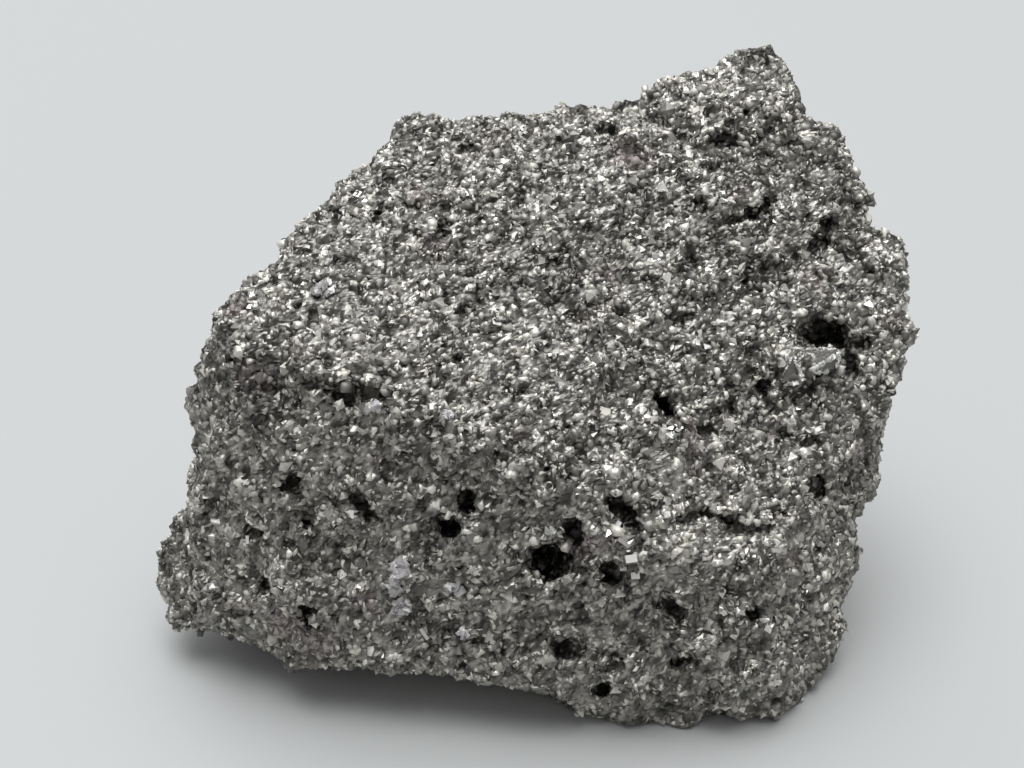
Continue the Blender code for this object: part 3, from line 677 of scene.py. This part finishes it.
def crust_pieces(points, faces, layers):
    """Closed halves of crust, each with its cut side closed round the middle of the cut."""
    pieces = []
    for number, share in enumerate(halves(points, faces), 1):
        name = f"crust_{number}"
        own = faces[share]
        used, index = np.unique(own, return_inverse=True)
        own = index.reshape(own.shape)
        rim = rim_edges(own)
        middle = points[used][rim].mean((0, 1))
        closing = np.concatenate([rim, np.full((len(rim), 1), len(used))], 1)
        loops = np.concatenate([own.ravel(), closing.ravel()])
        totals = np.concatenate([np.full(len(own), 4), np.full(len(closing), 3)])
        mesh = mesh_of(name, np.append(points[used], [middle], 0), loops, totals)
        add_layers(mesh, {key: np.append(values[used], 0) for key, values in layers.items()})
        pieces.append(new_mesh_object(name, mesh))
    return pieces


def hull_template(corners):
    """The convex hull of these corners, as an array of points and a list of faces."""
    bm = bmesh.new()
    for corner in corners:
        bm.verts.new(corner)
    made = bmesh.ops.convex_hull(bm, input=bm.verts[:], use_existing_faces=False)
    inside = made["geom_interior"] + made["geom_unused"]
    spare = {item for item in inside if isinstance(item, bmesh.types.BMVert)}
    bmesh.ops.delete(bm, geom=list(spare), context="VERTS")
    bmesh.ops.dissolve_limit(bm, angle_limit=FLAT_ANGLE, verts=bm.verts[:], edges=bm.edges[:])
    bmesh.ops.recalc_face_normals(bm, faces=bm.faces[:])
    bm.verts.index_update()
    points = np.array([vert.co[:] for vert in bm.verts])
    faces = [[vert.index for vert in face.verts] for face in bm.faces]
    bm.free()
    return points, faces


def irregular_corners(draw, count):
    """This many corners on a rough ball: a grain whose neighbours cut its faces short."""
    return list(unit(draw.normal(size=(count, 3))) * draw.uniform(*CORNER_REACH, (count, 1)))


def irregular_kinds(draw, count, corners, rounded):
    """Shapes of irregular grains, each as points, faces, and rounded or not."""
    return [(*hull_template(irregular_corners(draw, corners)), rounded) for _ in range(count)]


def grain_kinds(draw):
    """The shapes of the grains that stand in the crust, most of them rounded."""
    kinds = irregular_kinds(draw, ROUNDED_KINDS, ROUNDED_CORNERS, True)
    kinds += irregular_kinds(draw, SHARP_KINDS, SHARP_CORNERS, False)
    return kinds + [(*hull_template(corners), False) for corners in (OCTAHEDRON, CUBE)]


def random_turns(draw, count):
    """Rotation matrices, evenly spread over all directions."""
    w, x, y, z = unit(draw.normal(size=(count, 4))).T
    rows = [
        [1 - 2 * (y * y + z * z), 2 * (x * y - z * w), 2 * (x * z + y * w)],
        [2 * (x * y + z * w), 1 - 2 * (x * x + z * z), 2 * (y * z - x * w)],
        [2 * (x * z - y * w), 2 * (y * z + x * w), 1 - 2 * (x * x + y * y)],
    ]
    return np.array(rows).transpose(2, 0, 1)


def grains_object(name, kinds, centres, sizes, values, draw):
    """One mesh of closed grains. Their shapes are dealt out evenly, then turned and stretched at random."""
    shares = np.array_split(draw.permutation(len(centres)), len(kinds))
    point_blocks, loop_blocks, total_blocks, rounded_blocks, owners = [], [], [], [], []
    used = 0
    for (template, faces, rounded), share in zip(kinds, shares):
        count = len(share)
        stretch = sizes[share][:, None] * np.exp(draw.normal(0, GRAIN_STRETCH, (count, 3)))
        turned = np.einsum("kij,kpj->kpi", random_turns(draw, count), template[None] * stretch[:, None])
        point_blocks.append((turned + centres[share][:, None]).reshape(-1, 3))
        loops = np.concatenate([np.array(face) for face in faces])
        offsets = used + len(template) * np.arange(count)
        loop_blocks.append((offsets[:, None] + loops[None]).ravel())
        total_blocks.append(np.tile([len(face) for face in faces], count))
        rounded_blocks.append(np.full(count * len(faces), rounded))
        owners.append(np.repeat(share, len(template)))
        used += count * len(template)
    points = np.concatenate(point_blocks)
    points[:, 2] = np.maximum(points[:, 2], 0)
    blocks = [np.concatenate(block) for block in (loop_blocks, total_blocks, rounded_blocks)]
    mesh = mesh_of(name, points, *blocks)
    add_layers(mesh, {key: value[np.concatenate(owners)] for key, value in values.items()})
    return new_mesh_object(name, mesh)


def triangles_in(kinds):
    """How many triangles a grain has on average."""
    return np.mean([sum(len(face) - 2 for face in faces) for _, faces, _ in kinds])


def grain_places(points, faces, draw):
    """A point of the crust for each grain, and the middle of a face there, one to each cube of space."""
    room = points[faces[:, 0], 2] > GRAIN_FOOT
    chosen = draw.permutation(faces[room])
    places = points[chosen].mean(1)
    _, first = np.unique(np.floor(places / GRAIN_SPACING).astype(np.int64), axis=0, return_index=True)
    return chosen[first, 0], places[first]


def grain_pieces(points, faces, out, layers):
    """The grains that stand in the crust, shared out over as many pieces as they need."""
    draw = np.random.default_rng(SEED)
    kinds = grain_kinds(draw)
    owners, places = grain_places(points, faces, draw)
    sizes = np.clip(GRAIN_SIZE * np.exp(draw.normal(0, GRAIN_SPREAD, len(places))), *GRAIN_LIMITS)
    # Grains are smaller where a hollow's painted shade lies.
    sizes *= 1 - HOLLOW_SHRINK * layers["hollow_painted_shade"][owners]
    centres = places - out[owners] * (sizes * draw.uniform(*GRAIN_SINK, len(places)))[:, None]
    # The grains take the crust's painted shade and its patches of tone and painted light.
    values = {name: layers[name][owners] for name in ("hollow_painted_shade", "tone_and_painted_light")}
    parts = math.ceil(len(centres) * triangles_in(kinds) / MOST_TRIANGLES)
    pieces = []
    for number, share in enumerate(np.array_split(draw.permutation(len(centres)), parts), 1):
        own = {name: value[share] for name, value in values.items()}
        pieces.append(grains_object(f"grains_{number}", kinds, centres[share], sizes[share], own, draw))
    return pieces


def loose_grains(name, spots, sizes, tree):
    """Grains at these spots of the picture. Each spot is a column, a row and a rise above the crust."""
    draw = np.random.default_rng(SEED)
    kinds = irregular_kinds(draw, SHARP_KINDS, LOOSE_CORNERS, False)
    centres = []
    for column, row, rise in spots:
        place = seen(tree, column, row)
        if place is not None:
            centres.append(place - FORWARD * rise)
    return grains_object(name, kinds, np.array(centres), draw.uniform(*sizes, len(centres)), {}, draw)


def cluster_spots(clusters, rise=0):
    """Spots that crowd together in ellipses of the picture."""
    draw = np.random.default_rng(SEED)
    spots = []
    for column, row, width, height, count in clusters:
        for _ in range(count):
            angle, reach = draw.uniform(0, math.tau), math.sqrt(draw.uniform())
            across, down = width * reach * math.cos(angle), height * reach * math.sin(angle)
            spots.append((column + across, row + down, rise))
    return spots


def ridge_spots():
    """Spots along the pale ridges."""
    spots = []
    for rise, line in RIDGES:
        for start, end in zip(line, line[1:]):
            count = math.ceil(math.dist(start, end) / RIDGE_SPACING)
            for k in range(count):
                spots.append((*np.add(start, np.subtract(end, start) * k / count), rise * MM))
    return spots


def crystal_piece(name, crystals, tree):
    """The larger crystals of the front, as one mesh."""
    point_blocks, loop_blocks, totals = [], [], []
    used = 0
    for column, row, shape, sizes, turn, lean, rise in crystals:
        place = seen(tree, column, row)
        if place is None:
            continue
        spin, tip = math.radians(turn), math.radians(lean)
        across = RIGHT * math.cos(spin) + UP * math.sin(spin)
        along = UP * math.cos(spin) - RIGHT * math.sin(spin)
        leaning = along * math.cos(tip) + FORWARD * math.sin(tip)
        out = along * math.sin(tip) - FORWARD * math.cos(tip)
        corners, hull_faces = hull_template(shape)
        centre = np.array(place) - np.array(FORWARD) * rise * sizes[2] * MM
        point_blocks.append(corners * np.array(sizes) * MM @ np.array([across, leaning, out]) + centre)
        loop_blocks.append(np.concatenate(hull_faces) + used)
        totals += [len(face) for face in hull_faces]
        used += len(corners)
    mesh = mesh_of(name, np.concatenate(point_blocks), np.concatenate(loop_blocks), np.array(totals))
    return new_mesh_object(name, mesh)


def linked(tree, kind, settings=(), inputs=()):
    """A new shader node with these settings. An input is a number, a colour or another node's output."""
    node = tree.nodes.new(kind)
    for name, value in settings:
        setattr(node, name, value)
    for name, value in inputs:
        if isinstance(value, bpy.types.NodeSocket):
            tree.links.new(value, node.inputs[name])
        else:
            node.inputs[name].default_value = value
    return node


def new_material(name):
    material = bpy.data.materials.new(name)
    material.use_nodes = True
    return material, material.node_tree, material.node_tree.nodes["Principled BSDF"]


def object_place(tree):
    return linked(tree, "ShaderNodeTexCoord").outputs["Object"]


def layer_value(tree, name):
    """The value that the mesh holds under this name."""
    return linked(tree, "ShaderNodeAttribute", [("attribute_name", name)]).outputs["Fac"]


def noise_value(tree, place, scale, detail):
    inputs = [("Vector", place), ("Scale", scale), ("Detail", detail)]
    return linked(tree, "ShaderNodeTexNoise", inputs=inputs).outputs["Fac"]


def added(tree, first, second):
    inputs = [(0, first), (1, second)]
    return linked(tree, "ShaderNodeMath", [("operation", "ADD")], inputs).outputs["Value"]


def ramp(tree, factor, stops):
    """A colour between these stops, each a place from 0 to 1 and a colour."""
    node = linked(tree, "ShaderNodeValToRGB", inputs=[("Fac", factor)])
    elements = node.color_ramp.elements
    while len(elements) < len(stops):
        elements.new(0.5)
    for element, (place, colour) in zip(elements, stops):
        element.position = place
        element.color = (*colour, 1)
    return node.outputs["Color"]


def map_range(tree, value, low, high, least, most):
    """The value with the span from low to high spread over that from least to most."""
    inputs = [("Value", value), ("From Min", low), ("From Max", high), ("To Min", least), ("To Max", most)]
    return linked(tree, "ShaderNodeMapRange", inputs=inputs).outputs["Result"]


def mixed(tree, factor, first, second):
    """The first colour where the factor is 0, the second where it is 1."""
    node = linked(tree, "ShaderNodeMix", [("data_type", "RGBA")])
    for name, value in (("Factor_Float", factor), ("A_Color", first), ("B_Color", second)):
        socket = next(socket for socket in node.inputs if socket.identifier == name)
        if isinstance(value, bpy.types.NodeSocket):
            tree.links.new(value, socket)
        else:
            socket.default_value = value
    return next(socket for socket in node.outputs if socket.identifier == "Result_Color")


def fine_bump(tree, place, strength):
    """A normal that breaks each facet up into smaller lights and darks."""
    grit = noise_value(tree, place, BUMP_NOISE, 2.0)
    inputs = [("Height", grit), ("Strength", strength), ("Distance", BUMP_HEIGHT)]
    return linked(tree, "ShaderNodeBump", inputs=inputs).outputs["Normal"]


def layer_lot(name):
    """A random number that the mesh holds under this name."""
    return lambda tree: layer_value(tree, name)


def grain_lot(seed):
    """A random number for each closed grain of a mesh."""
    def make(tree):
        lot = linked(tree, "ShaderNodeNewGeometry").outputs["Random Per Island"]
        shifted = added(tree, lot, float(seed))
        white = linked(tree, "ShaderNodeTexWhiteNoise", [("noise_dimensions", "1D")], [("W", shifted)])
        return white.outputs["Value"]
    return make


def metal(name, tones, gloss, tone_lot, gloss_lot, shades=(), bump=METAL_BUMP):
    """Grey brassy metal whose tone and gloss differ from grain to grain, with faint tarnish in patches."""
    material, tree, shader = new_material(name)
    place = object_place(tree)
    level = tone_lot(tree)
    for scale, most in TONE_NOISE:
        mottle = noise_value(tree, place, scale, 1.0)
        level = added(tree, level, map_range(tree, mottle, *NOISE_SPAN, -most, most))
    # Broad patches of the metal's own tone and of painted light and shade.
    level = added(tree, level, layer_value(tree, "tone_and_painted_light"))
    tone = ramp(tree, level, tones)
    stain = map_range(tree, noise_value(tree, place, STAIN_NOISE, 2.0), *STAIN_LIMITS, 0.0, STAIN_MOST)
    tone = mixed(tree, stain, tone, STAIN_COLOUR)
    # Painted shade: the colour is pulled towards near-black as far as each shade value says.
    for shade, most in shades:
        painted_shade = map_range(tree, layer_value(tree, shade), 0.0, 1.0, 0.0, most)
        tone = mixed(tree, painted_shade, tone, PAINTED_SHADE_COLOUR)
    tree.links.new(tone, shader.inputs["Base Color"])
    shader.inputs["Metallic"].default_value = 1.0
    tree.links.new(map_range(tree, gloss_lot(tree), 0.0, 1.0, *gloss), shader.inputs["Roughness"])
    tree.links.new(fine_bump(tree, place, bump), shader.inputs["Normal"])
    return material


def crust_metal():
    tone_lot, gloss_lot = layer_lot("lot_1"), layer_lot("lot_0")
    return metal("pyrite_crust", CRUST_TONES, CRUST_GLOSS, tone_lot, gloss_lot, CRUST_PAINTED_SHADES)


def grain_metal():
    return metal("pyrite_grains", GRAIN_TONES, GRAIN_GLOSS, grain_lot(1), grain_lot(2), GRAIN_PAINTED_SHADES)


def crystal_metal():
    tone_lot, gloss_lot = grain_lot(1), grain_lot(2)
    return metal("pyrite_crystals", CRYSTAL_TONES, CRYSTAL_GLOSS, tone_lot, gloss_lot, bump=CRYSTAL_BUMP)


# Light metal for the bright crystals and grains, its tones partly painted highlight.
def bright_metal():
    return metal("bright_pyrite", BRIGHT_TONES, BRIGHT_GLOSS, grain_lot(1), grain_lot(2))


def pale_material(name, tones):
    """Dull whitish colour: pale mineral between the metal grains, and painted highlight on crystal ridges.
    """
    material, tree, shader = new_material(name)
    place = object_place(tree)
    tone = ramp(tree, noise_value(tree, place, PALE_NOISE, 3.0), tones)
    tree.links.new(tone, shader.inputs["Base Color"])
    shader.inputs["Metallic"].default_value = PALE_METALLIC
    shader.inputs["Roughness"].default_value = PALE_ROUGHNESS
    tree.links.new(fine_bump(tree, place, PALE_BUMP), shader.inputs["Normal"])
    return material


def dress(piece, material):
    piece.data.materials.clear()
    piece.data.materials.append(material)
    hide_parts(NODE)
    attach(piece, "root")


def make_lump():
    """All the pieces of the lump, each with its material."""
    points, faces, out, layers = crust_data()
    crust = crust_metal()
    for piece in crust_pieces(points, faces, layers):
        dress(piece, crust)
    grains = grain_metal()
    for piece in grain_pieces(points, faces, out, layers):
        dress(piece, grains)
    tree = BVHTree.FromPolygons(points.tolist(), faces.tolist())
    bright = bright_metal()
    dress(crystal_piece("crystals", CRYSTALS, tree), crystal_metal())
    dress(crystal_piece("bright_crystals", BRIGHT_CRYSTALS, tree), bright)
    dress(loose_grains("bright_grains", cluster_spots(CLUSTERS), CLUSTER_SIZES, tree), bright)
    # The ridges' pale colour is painted highlight along the crystals' edges.
    ridges = loose_grains("highlight_ridges", ridge_spots(), RIDGE_SIZES, tree)
    dress(ridges, pale_material("painted_edge_highlights", RIDGE_HIGHLIGHT_TONES))
    lumps = loose_grains("pale_lumps", cluster_spots(PALE_CLUSTERS, PALE_RISE), PALE_SIZES, tree)
    dress(lumps, pale_material("pale_mineral", LUMP_TONES))


def make_stage():
    """A plain pale floor."""
    mesh = bpy.data.meshes.new("floor")
    signs = ((-1, -1), (1, -1), (1, 1), (-1, 1))
    corners = [(FLOOR_HALF * across, FLOOR_HALF * along, 0) for across, along in signs]
    mesh.from_pydata(corners, [], [(0, 1, 2, 3)])
    floor = new_mesh_object("floor", mesh)
    material, _, shader = new_material("floor_paint")
    shader.inputs["Base Color"].default_value = FLOOR_COLOUR
    shader.inputs["Roughness"].default_value = FLOOR_ROUGHNESS
    floor.data.materials.append(material)


def make_world():
    """Soft room light: dim all round, with broad bright patches overhead and behind."""
    world = bpy.data.worlds.new("room")
    world.use_nodes = True
    bpy.context.scene.world = world
    tree = world.node_tree
    background = tree.nodes["Background"]
    place = linked(tree, "ShaderNodeTexCoord").outputs["Generated"]
    split = linked(tree, "ShaderNodeSeparateXYZ", inputs=[("Vector", place)])
    total = map_range(tree, split.outputs["Z"], 0.0, 1.0, *ROOM_LEVELS)
    for direction, width, power in ROOM_LIGHTS:
        aim = Vector(direction).normalized()
        dot = linked(tree, "ShaderNodeVectorMath", [("operation", "DOT_PRODUCT")], [(0, place), (1, aim)])
        edge, core = math.cos(math.radians(width)), math.cos(math.radians(width * LIGHT_CORE))
        inputs = [("Value", dot.outputs["Value"]), ("From Min", edge), ("From Max", core), ("To Max", power)]
        spot = linked(tree, "ShaderNodeMapRange", [("interpolation_type", "SMOOTHSTEP")], inputs)
        total = added(tree, total, spot.outputs["Result"])
    background.inputs["Color"].default_value = ROOM_TINT
    tree.links.new(total, background.inputs["Strength"])


def make_camera():
    data = bpy.data.cameras.new("camera")
    data.lens = LENS
    data.sensor_width = SENSOR
    data.clip_start = NEAREST_SEEN
    camera = bpy.data.objects.new("camera", data)
    bpy.context.scene.collection.objects.link(camera)
    camera.location = EYE
    camera.rotation_mode = "QUATERNION"
    camera.rotation_quaternion = FORWARD.to_track_quat("-Z", "Y")
    bpy.context.scene.camera = camera


make_camera()
make_world()
make_stage()
make_lump()
bpy.context.scene.view_settings.view_transform = "Standard"
